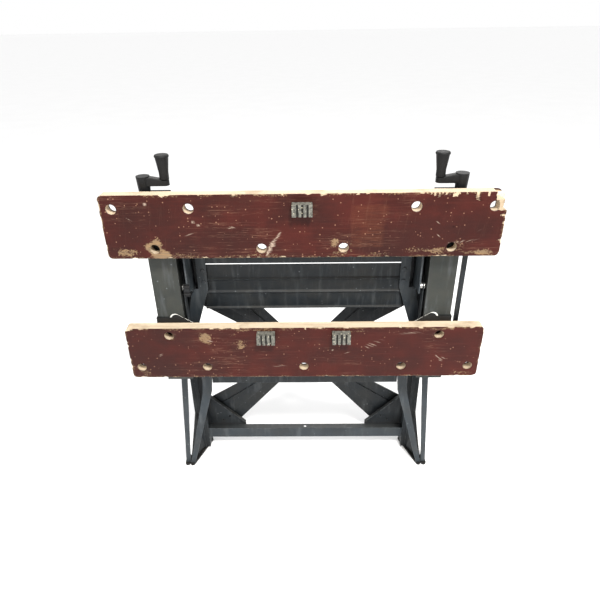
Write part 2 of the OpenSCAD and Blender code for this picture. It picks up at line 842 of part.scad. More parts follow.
lock_bar();
lock_stud();
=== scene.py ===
"""A folding clamping bench, folded flat: the looks of its jaws, pegs, screws, channels and leg frames."""
import json
import math

import bmesh
import bpy
import numpy as np
from bpy.props import FloatProperty, FloatVectorProperty, PointerProperty
from mathutils import Matrix, Vector


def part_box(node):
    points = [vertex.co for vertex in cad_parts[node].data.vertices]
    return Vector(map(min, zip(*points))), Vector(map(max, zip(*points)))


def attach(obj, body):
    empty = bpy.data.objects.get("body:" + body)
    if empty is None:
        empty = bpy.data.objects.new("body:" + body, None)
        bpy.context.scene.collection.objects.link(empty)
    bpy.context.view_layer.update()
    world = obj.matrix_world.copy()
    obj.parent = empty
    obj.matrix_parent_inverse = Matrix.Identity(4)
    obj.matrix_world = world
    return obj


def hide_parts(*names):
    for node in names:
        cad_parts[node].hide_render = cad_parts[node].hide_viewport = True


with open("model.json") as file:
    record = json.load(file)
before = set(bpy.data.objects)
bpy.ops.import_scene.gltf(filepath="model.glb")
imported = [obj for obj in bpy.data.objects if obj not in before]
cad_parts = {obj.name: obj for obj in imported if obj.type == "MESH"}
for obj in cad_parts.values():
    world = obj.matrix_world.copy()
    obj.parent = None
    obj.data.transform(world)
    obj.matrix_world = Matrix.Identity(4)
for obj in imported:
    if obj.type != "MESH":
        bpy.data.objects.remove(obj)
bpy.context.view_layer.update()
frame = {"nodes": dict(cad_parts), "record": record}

bl_info = {
    "name": "Folding clamping bench",
    "version": (1, 0, 0),
    "blender": (4, 5, 0),
    "location": "View3D > Sidebar > Bench",
    "description": "Builds a folding clamping bench around its packed frame",
    "category": "Object",
}

# Lengths in metres. The holes and the corners are the frame's own, the rest belong to the visual model.
HOLE_R = 0.010
OUTER_ROW = 0.027
INNER_ROW = 0.019
END_HOLE = 0.022
MID_HOLE = 0.212
NEAR_HOLE = 0.079
FAR_HOLE = 0.286
BACK_GAP = 0.0004  # keeps the fixed board's back off the saddles that slide past it
JAW_CORNER = 0.009
SCREW_R = 0.0059
COLLAR_R = 0.0078
THREAD_DEPTH = 0.0011
THREAD_PITCH = 0.005
NECK_DROP = 0.008  # from the fixed jaw's upper edge down to the thread's end


# ---------------------------------------------------------------- numbers and noise

def lattice(i, j, k, seed):
    """Pseudo-random numbers from 0 to 1, one for each point of a whole-number lattice."""
    n = np.sin(i * 127.1 + j * 311.7 + k * 74.7 + seed * 53.9) * 43758.5453
    return n - np.floor(n)


def noise(p, size, seed=0):
    """Smooth value noise from 0 to 1 at points p, with features about size across.

    Lattice values are blended with the weight t * t * (3 - 2 t) along each axis.
    """
    q = np.asarray(p, float) / size
    base = np.floor(q)
    t = q - base
    t = t * t * (3 - 2 * t)
    out = np.zeros(len(q))
    for di in (0, 1):
        for dj in (0, 1):
            for dk in (0, 1):
                w = np.ones(len(q))
                for axis, d in enumerate((di, dj, dk)):
                    w = w * (t[:, axis] if d else 1 - t[:, axis])
                out += w * lattice(base[:, 0] + di, base[:, 1] + dj, base[:, 2] + dk, seed)
    return out


def rough(p, size, seed=0, octaves=3):
    """Sum of noise octaves, each half the size and half the height of the last, from 0 to 1."""
    total, weight = np.zeros(len(p)), 0.0
    for o in range(octaves):
        total += noise(p, size / 2 ** o, seed + 7 * o) / 2 ** o
        weight += 1 / 2 ** o
    return total / weight


def smooth(a, b, x):
    """Smooth step from 0 where x is a to 1 where x is b."""
    t = np.clip((x - a) / (b - a), 0, 1)
    return t * t * (3 - 2 * t)


# ---------------------------------------------------------------- making objects

def settings():
    return bpy.context.scene.bench


def make_object(name, points, faces, material, smooth_angle=35.0):
    """A mesh object at the origin from arrays of points and of faces of one or several sizes."""
    mesh = bpy.data.meshes.new(name)
    lists = [f.tolist() for f in faces] if isinstance(faces, list) else [faces.tolist()]
    mesh.from_pydata(np.asarray(points, float).tolist(), [], [q for part in lists for q in part])
    mesh.validate()
    mesh.shade_smooth()
    mesh.set_sharp_from_angle(angle=math.radians(smooth_angle))
    mesh.materials.append(material)
    obj = bpy.data.objects.new(name, mesh)
    bpy.context.scene.collection.objects.link(obj)
    return obj


def fit_out(obj, body, slot, *nodes):
    """The piece rides on a body and stands for its CAD nodes, which are hidden; the slot is not used."""
    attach(obj, body)
    if nodes:
        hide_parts(*nodes)
    return obj


def body_of_node(node):
    return next(b for b, members in frame["record"]["behaviour"]["bodies"].items() if node in members)


def slot_of_node(node):
    return next(s["material_slot"] for s in frame["record"]["subparts"] if s["node"] == node)


def grid_faces(rows, cols, closed_cols=True, closed_rows=False, offset=0):
    """Quads of a grid of rows by cols points, wrapped round where it is closed."""
    r = np.arange(rows if closed_rows else rows - 1)
    c = np.arange(cols if closed_cols else cols - 1)
    r0, c0 = np.meshgrid(r, c, indexing="ij")
    r1, c1 = (r0 + 1) % rows, (c0 + 1) % cols
    quads = np.stack([r0 * cols + c0, r0 * cols + c1, r1 * cols + c1, r1 * cols + c0], -1)
    return quads.reshape(-1, 4) + offset


def joined(parts):
    """Points and faces of several surfaces, put one after another."""
    points, faces, start = [], [], 0
    for p, f in parts:
        points.append(p)
        faces += [g + start for g in (f if isinstance(f, list) else [f])]
        start += len(p)
    return np.concatenate(points), faces


def lathe(profile, centre, axis="z", steps=48):
    """A closed profile of (radius, height) pairs turned once round an axis through centre.

    Point (i, j) is at radius r_i and height h_i, turned by 2 pi j / steps.
    """
    prof = np.asarray(profile, float)
    turn = 2 * np.pi * np.arange(steps) / steps
    r, h = prof[:, 0][:, None], prof[:, 1][:, None] + 0 * turn
    a, b = r * np.cos(turn), r * np.sin(turn)
    order = {"z": (a, b, h), "x": (h, a, b), "y": (b, h, a)}[axis]
    points = np.stack(order, -1).reshape(-1, 3) + np.asarray(centre, float)
    faces = grid_faces(len(prof), steps)
    caps = [np.arange(steps)[::-1][None], (np.arange(steps) + (len(prof) - 1) * steps)[None]]
    return points, [faces] + caps


def refined(node, material, width=0.0007, segments=2):
    """A merged copy of a CAD node's mesh with its flat faces joined and its edges rounded by a live bevel."""
    mesh = frame["nodes"][node].data.copy()
    mesh.name = node + "_finished"
    bm = bmesh.new()
    bm.from_mesh(mesh)
    bmesh.ops.remove_doubles(bm, verts=bm.verts, dist=1e-5)
    bmesh.ops.dissolve_limit(bm, angle_limit=math.radians(1.0), verts=bm.verts, edges=bm.edges)
    bm.to_mesh(mesh)
    bm.free()
    mesh.materials.clear()
    mesh.materials.append(material)
    mesh.shade_smooth()
    mesh.set_sharp_from_angle(angle=math.radians(32))
    obj = bpy.data.objects.new(node + "_finished", mesh)
    bpy.context.scene.collection.objects.link(obj)
    bevel = obj.modifiers.new("rounded edges", "BEVEL")
    bevel.width = width
    bevel.segments = segments
    bevel.limit_method = "ANGLE"
    bevel.angle_limit = math.radians(32)
    bevel.harden_normals = True
    fit_out(obj, body_of_node(node), slot_of_node(node), node)
    return obj


# ---------------------------------------------------------------- node groups and materials

def new_group(name, inputs, outputs):
    """An empty shader node group with named sockets; returns it and its input and output nodes.

    A socket's kind is f for float, c for colour or v for vector.
    """
    group = bpy.data.node_groups.new(name, "ShaderNodeTree")
    kinds = {"f": "NodeSocketFloat", "c": "NodeSocketColor", "v": "NodeSocketVector"}
    for label, kind, default in inputs:
        socket = group.interface.new_socket(name=label, in_out="INPUT", socket_type=kinds[kind])
        if default is not None:
            socket.default_value = default
    for label, kind in outputs:
        group.interface.new_socket(name=label, in_out="OUTPUT", socket_type=kinds[kind])
    return group, group.nodes.new("NodeGroupInput"), group.nodes.new("NodeGroupOutput")


class Tree:
    """Short ways of adding and joining nodes in one node tree."""

    def __init__(self, tree):
        self.tree = tree

    def put(self, kind, **values):
        node = self.tree.nodes.new(kind)
        for key, value in values.items():
            setattr(node, key, value)
        return node

    def link(self, source, target):
        self.tree.links.new(source, target)

    def feed(self, socket, value):
        if isinstance(value, bpy.types.NodeSocket):
            self.link(value, socket)
        else:
            socket.default_value = value

    def math(self, op, a, b=0.0, clamp=False):
        node = self.put("ShaderNodeMath", operation=op, use_clamp=clamp)
        self.feed(node.inputs[0], a)
        self.feed(node.inputs[1], b)
        return node.outputs[0]

    def ramp(self, value, low, high, to_low=0.0, to_high=1.0):
        node = self.put("ShaderNodeMapRange", clamp=True, interpolation_type="SMOOTHSTEP")
        for i, v in enumerate((value, low, high, to_low, to_high)):
            self.feed(node.inputs[i], v)
        return node.outputs[0]

    def mix(self, share, a, b, blend="MIX"):
        node = self.put("ShaderNodeMix", data_type="RGBA", blend_type=blend)
        self.feed(node.inputs[0], share)
        self.feed(node.inputs[6], a)
        self.feed(node.inputs[7], b)
        return node.outputs[2]

    def noise(self, vector, scale, detail=3.0, roughness=0.55):
        node = self.put("ShaderNodeTexNoise")
        self.feed(node.inputs["Vector"], vector)
        self.feed(node.inputs["Scale"], scale)
        node.inputs["Detail"].default_value = detail
        node.inputs["Roughness"].default_value = roughness
        return node.outputs["Fac"]

    def mapped(self, vector, scale=(1, 1, 1), turn=(0, 0, 0), shift=(0, 0, 0)):
        node = self.put("ShaderNodeMapping")
        self.feed(node.inputs["Vector"], vector)
        node.inputs["Location"].default_value = shift
        node.inputs["Rotation"].default_value = turn
        node.inputs["Scale"].default_value = scale
        return node.outputs[0]


def edge_wear_group():
    """Mask of worn edges: where the rounded normal leaves the true one, broken up by noise."""
    group, start, end = new_group(
        "edge_wear",
        [("Vector", "v", None), ("Radius", "f", 0.0015), ("Amount", "f", 0.6)],
        [("Mask", "f")],
    )
    t = Tree(group)
    bevel = t.put("ShaderNodeBevel", samples=6)
    t.link(start.outputs["Radius"], bevel.inputs["Radius"])
    geometry = t.put("ShaderNodeNewGeometry")
    dot = t.put("ShaderNodeVectorMath", operation="DOT_PRODUCT")
    t.link(bevel.outputs[0], dot.inputs[0])
    t.link(geometry.outputs["Normal"], dot.inputs[1])
    sharp = t.math("SUBTRACT", 1.0, dot.outputs["Value"], clamp=True)
    edge = t.ramp(sharp, 0.004, 0.10)
    grain = t.noise(start.outputs["Vector"], 140.0, 4.0)
    broken = t.ramp(grain, 0.42, 0.62)
    worn = t.math("MULTIPLY", edge, broken)
    t.link(t.math("MULTIPLY", worn, start.outputs["Amount"], clamp=True), end.inputs["Mask"])
    return group


def dust_group():
    """Mask of dust that lies on upward faces and in patches."""
    group, start, end = new_group(
        "dust", [("Vector", "v", None), ("Amount", "f", 0.4)], [("Mask", "f")]
    )
    t = Tree(group)
    geometry = t.put("ShaderNodeNewGeometry")
    split = t.put("ShaderNodeSeparateXYZ")
    t.link(geometry.outputs["Normal"], split.inputs[0])
    up = t.ramp(split.outputs["Z"], 0.2, 0.95)
    patches = t.ramp(t.noise(start.outputs["Vector"], 22.0, 5.0), 0.38, 0.72)
    both = t.math("ADD", t.math("MULTIPLY", up, 0.7), t.math("MULTIPLY", patches, 0.5), clamp=True)
    t.link(t.math("MULTIPLY", both, start.outputs["Amount"], clamp=True), end.inputs["Mask"])
    return group


def painted_shade_group():
    """Mask of painted shade: deep places, found by ambient occlusion, where little light comes in."""
    group, start, end = new_group("painted_shade", [("Reach", "f", 0.08), ("Amount", "f", 0.8)], [("Mask", "f")])
    t = Tree(group)
    shade = t.put("ShaderNodeAmbientOcclusion", samples=8)
    t.link(start.outputs["Reach"], shade.inputs["Distance"])
    # painted shade: the less light reaches a place, the higher the mask
    deep = t.ramp(shade.outputs["AO"], 0.15, 0.75, 1.0, 0.0)
    t.link(t.math("MULTIPLY", deep, start.outputs["Amount"], clamp=True), end.inputs["Mask"])
    return group


def spatter_group():
    """Round dots of random size, scattered with even density."""
    group, start, end = new_group(
        "spatter", [("Vector", "v", None), ("Scale", "f", 60.0), ("Size", "f", 0.2)], [("Mask", "f")]
    )
    t = Tree(group)
    cells = t.put("ShaderNodeTexVoronoi")
    t.link(start.outputs["Vector"], cells.inputs["Vector"])
    t.link(start.outputs["Scale"], cells.inputs["Scale"])
    pick = t.put("ShaderNodeSeparateColor")
    t.link(cells.outputs["Color"], pick.inputs[0])
    chosen = t.ramp(pick.outputs[0], 0.80, 1.0)
    radius = t.math("MULTIPLY", chosen, start.outputs["Size"])
    inside = t.math("SUBTRACT", radius, cells.outputs["Distance"])
    t.link(t.ramp(inside, 0.0, 0.05), end.inputs["Mask"])
    return group


def scratches_group():
    """Thin broken lines along the vector's first axis, from two noises stretched hard along it."""
    group, start, end = new_group(
        "scratches", [("Vector", "v", None), ("Scale", "f", 30.0), ("Amount", "f", 0.5)], [("Mask", "f")]
    )
    t = Tree(group)
    fine = t.mapped(start.outputs["Vector"], scale=(0.10, 3.0, 3.0))
    lines = t.noise(fine, start.outputs["Scale"], 4.0, 0.7)
    thin = t.ramp(t.math("ABSOLUTE", t.math("SUBTRACT", lines, 0.5)), 0.0, 0.012, 1.0, 0.0)
    where = t.ramp(t.noise(start.outputs["Vector"], 9.0, 2.0), 0.5, 0.66)
    seen = t.math("MULTIPLY", thin, where)
    t.link(t.math("MULTIPLY", seen, start.outputs["Amount"], clamp=True), end.inputs["Mask"])
    return group


GROUPS = {}


def group_node(t, name, **values):
    """Places a shared node group in a material, with its own values."""
    makers = {
        "edge_wear": edge_wear_group, "dust": dust_group,
        "spatter": spatter_group, "scratches": scratches_group, "painted_shade": painted_shade_group,
    }
    if name not in GROUPS:
        GROUPS[name] = makers[name]()
    node = t.put("ShaderNodeGroup", node_tree=GROUPS[name])
    for key, value in values.items():
        t.feed(node.inputs[key], value)
    return node.outputs[0]


def new_material(name):
    """An empty material; returns it, its tree helper, its shader and the object coordinates."""
    material = bpy.data.materials.new(name)
    material.use_nodes = True
    material.node_tree.nodes.clear()
    t = Tree(material.node_tree)
    shader = t.put("ShaderNodeBsdfPrincipled")
    out = t.put("ShaderNodeOutputMaterial")
    t.link(shader.outputs[0], out.inputs[0])
    coords = t.put("ShaderNodeTexCoord")
    return material, t, shader, coords.outputs["Object"]


def add_bump(t, shader, height, distance, strength=1.0):
    bump = t.put("ShaderNodeBump")
    bump.inputs["Distance"].default_value = distance
    bump.inputs["Strength"].default_value = strength
    t.feed(bump.inputs["Height"], height)
    t.link(bump.outputs[0], shader.inputs["Normal"])


def rgba(colour, k=1.0):
    return (colour[0] * k, colour[1] * k, colour[2] * k, 1.0)


def painted(name, colour, worn, dirt, wear=0.6, dust=0.4, roughness=0.5):
    """Old paint on steel: patchy tone, dusty tops, worn edges, long scratches, dirt spots and painted shade
    in recesses.
    """
    material, t, shader, place = new_material(name)
    tone = t.noise(place, 14.0, 5.0)
    base = t.mix(t.ramp(tone, 0.3, 0.7), rgba(colour, 0.78), rgba(colour, 1.22))
    smear = t.noise(t.mapped(place, scale=(1.0, 1.0, 0.18)), 60.0, 4.0)
    base = t.mix(t.ramp(smear, 0.5, 0.75, 0.0, 0.35), base, rgba(worn, 0.8))
    dusty = group_node(t, "dust", Vector=place, Amount=dust)
    base = t.mix(dusty, base, rgba(dirt))
    lines = group_node(t, "scratches", Vector=t.mapped(place, turn=(0.0, 1.5, 0.0)), Scale=26.0, Amount=0.25)
    base = t.mix(lines, base, rgba(worn))
    spots = group_node(t, "spatter", Vector=place, Scale=120.0, Size=0.22)
    base = t.mix(t.math("MULTIPLY", spots, 0.55), base, rgba(worn, 1.15))
    edges = group_node(t, "edge_wear", Vector=place, Radius=0.0016, Amount=wear)
    base = t.mix(edges, base, rgba(worn, 1.25))
    # painted shade: the paint darkened to 12 % of its colour in deep places
    base = t.mix(group_node(t, "painted_shade", Reach=0.07, Amount=0.85), base, rgba(colour, 0.12))
    t.link(base, shader.inputs["Base Color"])
    gloss = t.ramp(tone, 0.2, 0.8, roughness - 0.1, roughness + 0.12)
    t.link(t.math("ADD", gloss, t.math("MULTIPLY", dusty, 0.25), clamp=True), shader.inputs["Roughness"])
    shader.inputs["Specular IOR Level"].default_value = 0.28
    height = t.math("ADD", t.noise(place, 420.0, 2.0), t.math("MULTIPLY", lines, -0.8))
    add_bump(t, shader, height, 0.00012)
    return material


def bare_metal(name, colour, tarnish, roughness=0.38):
    """Dull zinc or steel with brown tarnish in patches."""
    material, t, shader, place = new_material(name)
    cloud = t.ramp(t.noise(place, 90.0, 5.0), 0.42, 0.68)
    base = t.mix(cloud, rgba(colour), rgba(tarnish))
    edges = group_node(t, "edge_wear", Vector=place, Radius=0.0008, Amount=0.5)
    base = t.mix(edges, base, rgba(colour, 1.3))
    t.link(base, shader.inputs["Base Color"])
    shader.inputs["Metallic"].default_value = 0.85
    t.link(t.ramp(cloud, 0.0, 1.0, roughness, roughness + 0.3), shader.inputs["Roughness"])
    add_bump(t, shader, t.noise(place, 500.0, 3.0), 0.0001)
    return material


def moulded(name, colour, dirt, dust=0.35, roughness=0.55):
    """Moulded plastic with a fine skin, handling marks and dust."""
    material, t, shader, place = new_material(name)
    tone = t.noise(place, 60.0, 4.0)
    base = t.mix(t.ramp(tone, 0.3, 0.7), rgba(colour, 0.8), rgba(colour, 1.25))
    dusty = group_node(t, "dust", Vector=place, Amount=dust)
    base = t.mix(dusty, base, rgba(dirt))
    edges = group_node(t, "edge_wear", Vector=place, Radius=0.0012, Amount=0.45)
    base = t.mix(edges, base, rgba(dirt, 1.2))
    t.link(base, shader.inputs["Base Color"])
    t.link(t.ramp(tone, 0.2, 0.8, roughness - 0.1, roughness + 0.15), shader.inputs["Roughness"])
    shader.inputs["Specular IOR Level"].default_value = 0.25
    add_bump(t, shader, t.noise(place, 900.0, 2.0), 0.00012)
    return material


def ribbed_peg(name, colour, worn, dirt):
    """Dark moulded peg whose rib faces are worn light, with a painted highlight on its upper side, and
    spattered.
    """
    material, t, shader, place = new_material(name)
    lo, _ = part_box("peg_upper")
    split = t.put("ShaderNodeSeparateXYZ")
    t.link(place, split.inputs[0])
    face = t.ramp(split.outputs["Y"], lo.y + 0.0006, lo.y + 0.0022, 1.0, 0.0)
    geometry = t.put("ShaderNodeNewGeometry")
    normal = t.put("ShaderNodeSeparateXYZ")
    t.link(geometry.outputs["Normal"], normal.inputs[0])
    # painted highlight: faces turned upwards are lightened towards the worn colour, by up to 0.9
    top = t.ramp(normal.outputs["Z"], 0.5, 0.9, 0.0, 0.9)
    patches = t.ramp(t.noise(place, 190.0, 5.0, 0.7), 0.36, 0.60, 0.25, 1.0)
    # rubbed holds the worn rib faces and the painted highlight on the upper side, both broken into patches
    rubbed = t.math("MULTIPLY", t.math("MAXIMUM", face, top), patches, clamp=True)
    base = t.mix(rubbed, rgba(colour), rgba(worn))
    spots = group_node(t, "spatter", Vector=place, Scale=330.0, Size=0.4)
    base = t.mix(t.math("MULTIPLY", spots, 0.8), base, rgba(dirt))
    edges = group_node(t, "edge_wear", Vector=place, Radius=0.0008, Amount=0.7)
    base = t.mix(edges, base, rgba(worn, 1.2))
    t.link(base, shader.inputs["Base Color"])
    shader.inputs["Roughness"].default_value = 0.6
    shader.inputs["Specular IOR Level"].default_value = 0.25
    add_bump(t, shader, t.noise(place, 700.0, 3.0), 0.00015)
    return material


def film_plywood(name):
    """Maroon resin film over plywood: film where the worn mask is low, ply layers where it is high.

    The mesh attribute "marks" holds bare wood in red, pale marks in green, the old label's panel in blue
    and rubbed, tan places in alpha.
    """
    s = settings().jaws
    material, t, shader, place = new_material(name)
    marks = t.put("ShaderNodeAttribute", attribute_name="marks")
    split = t.put("ShaderNodeSeparateColor")
    t.link(marks.outputs["Color"], split.inputs[0])
    bare, pale, label = split.outputs[0], split.outputs[1], split.outputs[2]
    rubbed = marks.outputs["Alpha"]
    grain = t.noise(t.mapped(place, scale=(0.05, 1.0, 1.0)), 170.0, 4.0, 0.65)
    fine = t.noise(t.mapped(place, scale=(0.08, 1.0, 1.0)), 620.0, 3.0, 0.6)
    speckle = t.noise(t.mapped(place, scale=(0.6, 1.0, 1.0)), 520.0, 5.0, 0.75)
    blotch = t.noise(place, 16.0, 4.0)
    film = t.mix(t.ramp(blotch, 0.35, 0.68), rgba(s.film, 0.78), rgba(s.film, 1.18))
    film = t.mix(t.ramp(grain, 0.50, 0.74, 0.0, 0.30), film, rgba(s.film_light))
    film = t.mix(t.ramp(t.noise(t.mapped(place, scale=(0.5, 1.0, 1.0)), 9.0, 5.0, 0.6), 0.48, 0.66, 0.0, 0.6),
                 film, rgba(s.film_dark))
    tint = t.math("MULTIPLY", label, t.ramp(fine, 0.38, 0.62, 0.25, 0.85), clamp=True)
    film = t.mix(tint, film, rgba(s.label))
    lines = group_node(t, "scratches", Vector=place, Scale=34.0, Amount=0.7)
    turned = t.mapped(place, turn=(0.0, 1.45, 0.0))
    across = group_node(t, "scratches", Vector=turned, Scale=16.0, Amount=0.14)
    lines = t.math("MAXIMUM", lines, across)
    film = t.mix(t.math("MULTIPLY", lines, 0.45), film, rgba(s.scuff))
    dots = group_node(t, "spatter", Vector=place, Scale=62.0, Size=0.13)
    small = group_node(t, "spatter", Vector=t.mapped(place, shift=(0.3, 0.1, 0.7)), Scale=210.0, Size=0.30)
    dots = t.math("MAXIMUM", t.math("MULTIPLY", dots, 0.6), t.math("MULTIPLY", small, 0.55))
    film = t.mix(dots, film, rgba(s.scuff, 1.2))
    worn_away = t.math("ADD", rubbed, t.math("MULTIPLY", t.math("SUBTRACT", speckle, 0.5), 2.2))
    tan_share = t.math("MULTIPLY", t.ramp(worn_away, 0.46, 0.60), t.ramp(rubbed, 0.02, 0.2), clamp=True)
    tan = t.mix(t.ramp(fine, 0.35, 0.65), rgba(s.wood_dirt), rgba(s.rubbed))
    film = t.mix(t.math("MULTIPLY", tan_share, 0.85), film, tan)
    pale_mask = t.math("MULTIPLY", pale, t.ramp(speckle, 0.36, 0.56, 0.15, 1.0), clamp=True)
    film = t.mix(pale_mask, film, rgba(s.pale))
    split_place = t.put("ShaderNodeSeparateXYZ")
    t.link(place, split_place.inputs[0])
    depth = t.math("ADD", split_place.outputs["Y"], t.math("MULTIPLY", blotch, 0.0012))
    layer = t.math("PINGPONG", t.math("ADD", depth, 1.0), s.ply)
    stripe = t.ramp(layer, s.ply * 0.25, s.ply * 0.75)
    wood = t.mix(t.math("MULTIPLY", stripe, 0.75), rgba(s.wood_light), rgba(s.wood_dark))
    wood = t.mix(t.ramp(grain, 0.45, 0.75, 0.0, 0.55), wood, rgba(s.wood_dark, 0.8))
    wood = t.mix(t.ramp(blotch, 0.48, 0.72, 0.0, 0.55), wood, rgba(s.wood_dirt))
    edge = t.math("ADD", bare, t.math("MULTIPLY", t.math("SUBTRACT", speckle, 0.5), 1.0))
    share = t.ramp(edge, 0.42, 0.56)
    t.link(t.mix(share, film, wood), shader.inputs["Base Color"])
    t.link(t.ramp(share, 0.0, 1.0, t.ramp(blotch, 0.3, 0.7, 0.36, 0.55), 0.9), shader.inputs["Roughness"])
    shader.inputs["Specular IOR Level"].default_value = 0.16
    height = t.math("ADD", t.math("MULTIPLY", share, -1.1), t.math("MULTIPLY", fine, 0.25))
    height = t.math("SUBTRACT", height, t.math("MULTIPLY", lines, 0.35))
    height = t.math("SUBTRACT", height, t.math("MULTIPLY", tan_share, 0.4))
    add_bump(t, shader, height, 0.00035)
    return material


MATERIALS = {}


def material(name):
    """The finish of one material slot, made when it is first asked for."""
    p = settings().paint
    dirt = p.dirt
    makers = {
        "film_plywood": lambda: film_plywood("film_plywood"),
        "leg_paint": lambda: painted("leg_paint", p.leg, p.worn, dirt, wear=0.55, dust=0.30),
        "strip_paint": lambda: painted("strip_paint", p.strip, p.worn, dirt, wear=0.6, dust=0.30),
        "channel_paint": lambda: painted("channel_paint", p.channel, p.worn, dirt, wear=0.5, dust=0.40),
        "black_steel": lambda: painted(
            "black_steel", p.black, p.leg, dirt, wear=0.45, dust=0.12, roughness=0.42),
        "black_plastic": lambda: moulded("black_plastic", p.black, dirt, dust=0.12),
        "zinc": lambda: bare_metal("zinc", p.zinc, (0.16, 0.12, 0.08)),
        "nylon": lambda: moulded("nylon", p.nylon, (0.42, 0.38, 0.30), dust=0.3, roughness=0.4),
        "peg_grey": lambda: ribbed_peg("peg_grey", p.peg, p.peg_worn_and_lit, (0.62, 0.56, 0.40)),
    }
    if name not in MATERIALS:
        MATERIALS[name] = makers[name]()
    return MATERIALS[name]


# ---------------------------------------------------------------- jaws

def samples(marks, step):
    """Places along a line that hold every mark, with the stretches between divided into equal steps."""
    marks = np.unique(np.round(marks, 7))
    parts = []
    for a, b in zip(marks, marks[1:]):
        count = max(2, int(math.ceil((b - a) / step)) + 1)
        parts.append(np.linspace(a, b, count)[:-1])
    return np.concatenate(parts + [marks[-1:]])


def cell_face(x0, x1, z0, z1, hole, xs, zs, rings):
    """One rectangle of a board's face round one hole, as a grid of rays by rings.

    A ray goes from the hole's circle to a point of the rectangle's border; ring 0 lies on the circle.
    """
    bx = xs[(xs >= x0 - 1e-9) & (xs <= x1 + 1e-9)]
    bz = zs[(zs >= z0 - 1e-9) & (zs <= z1 + 1e-9)]
    border = np.concatenate([
        np.stack([bx[:-1], np.full(len(bx) - 1, z0)], -1),
        np.stack([np.full(len(bz) - 1, x1), bz[:-1]], -1),
        np.stack([bx[:0:-1], np.full(len(bx) - 1, z1)], -1),
        np.stack([np.full(len(bz) - 1, x0), bz[:0:-1]], -1),
    ])
    ray = border - hole
    length = np.linalg.norm(ray, axis=1, keepdims=True)
    circle = hole + ray / length * HOLE_R
    rim = 0.0009 / (length - HOLE_R)
    t = rings[:, None, None]
    share = np.where(t <= rings[1], rim * t / rings[1], rim + (1 - rim) * (t - rings[1]) / (1 - rings[1]))
    return circle + (border - circle) * share


def board_grid(length, width, up):
    """The face of a board with its nine holes as 2-D points, quads, hole rims and the outline's points."""
    end = length / 2 - END_HOLE
    rows = [
        (np.array([-end, -MID_HOLE, 0.0, MID_HOLE, end]), width - OUTER_ROW if up else OUTER_ROW),
        (np.array([-FAR_HOLE, -NEAR_HOLE, NEAR_HOLE, FAR_HOLE]), INNER_ROW if up else width - INNER_ROW),
    ]
    split_z = 0.5 * (rows[0][1] + rows[1][1])
    edges = [np.concatenate([[-length / 2], (r[0][1:] + r[0][:-1]) / 2, [length / 2]]) for r in rows]
    ends = np.array([-length / 2 + JAW_CORNER, length / 2 - JAW_CORNER])
    xs = samples(np.concatenate([edges[0], edges[1], ends]), 0.0018)
    zs = samples(np.array([0.0, JAW_CORNER, split_z, width - JAW_CORNER, width]), 0.0018)
    rings = np.array([0.0, 0.05, 0.12, 0.20, 0.30, 0.41, 0.53, 0.64, 0.74, 0.83, 0.90, 0.955, 0.985, 1.0])
    points, quads, rims, start = [], [], [], 0
    for (hole_x, hole_z), cuts in zip(rows, edges):
        low, high = (split_z, width) if hole_z > split_z else (0.0, split_z)
        for k, x in enumerate(hole_x):
            cell = cell_face(cuts[k], cuts[k + 1], low, high, np.array([x, hole_z]), xs, zs, rings)
            count = cell.shape[1]
            points.append(cell.reshape(-1, 2))
            quads.append(grid_faces(len(rings), count, offset=start)[:, ::-1])
            rims.append(np.arange(count) + start)
            start += cell.shape[0] * count
    points, quads = np.concatenate(points), np.concatenate(quads)
    key = np.round(points, 6)
    _, first, back = np.unique(key, axis=0, return_index=True, return_inverse=True)
    back = back.reshape(-1)
    return points[first], back[quads], [back[r] for r in rims]


def rounded_corners(p, length, width):
    """Maps the square corners of the outline to quarter circles: a' = a sqrt(1 - b^2 / 2), and so for b."""
    sign = np.sign(p - np.array([0.0, width / 2]))
    inner = np.array([length / 2, width / 2]) - JAW_CORNER
    q = np.clip((np.abs(p - np.array([0.0, width / 2])) - inner) / JAW_CORNER, 0, 1)
    a, b = q[:, 0].copy(), q[:, 1].copy()
    q[:, 0] = a * np.sqrt(1 - b * b / 2)
    q[:, 1] = b * np.sqrt(1 - a * a / 2)
    moved = np.minimum(np.abs(p - np.array([0.0, width / 2])), inner) + q * JAW_CORNER
    return sign * moved + np.array([0.0, width / 2])


def chip_field(p, chips, seed):
    """Depth of the chips at face points p.

    Each chip is a half-round bite given as x, z, half length, half width and depth.
    """
    p3 = np.column_stack([p, np.zeros(len(p))])
    ragged = rough(p3, 0.006, seed) - 0.5
    depth = np.zeros(len(p))
    for x, z, rx, rz, d in chips:
        inside = 1 - ((p[:, 0] - x) / rx) ** 2 - ((p[:, 1] - z) / rz) ** 2 + 1.1 * ragged
        depth = np.maximum(depth, d * smooth(0.0, 0.45, inside))
    return depth


def random_chips(length, width, rng, count):
    """Small bites along the outline: three in four lie on the long edges."""
    chips = []
    for _ in range(count):
        along, side = rng.uniform(-1, 1), rng.choice([0, 1])
        size, depth = rng.uniform(0.0015, 0.0045), rng.uniform(0.0006, 0.0016)
        if rng.uniform() < 0.75:
            chips.append((along * length / 2, side * width, size * 1.6, size, depth))
        else:
            chips.append(((side * 2 - 1) * length / 2, (along + 1) * width / 2, size, size * 1.4, depth))
    return chips


def patch(p, x, z, rx, rz, seed, soft=0.5, turn=0.0):
    """Mask of one worn patch: an ellipse turned by an angle, with a ragged border."""
    c, s = math.cos(turn), math.sin(turn)
    dx, dz = p[:, 0] - x, p[:, 1] - z
    a, b = (dx * c + dz * s) / rx, (-dx * s + dz * c) / rz
    p3 = np.column_stack([p, np.zeros(len(p))])
    return smooth(0.0, soft, 1 - a * a - b * b + 1.4 * (rough(p3, 0.012, seed) - 0.5))


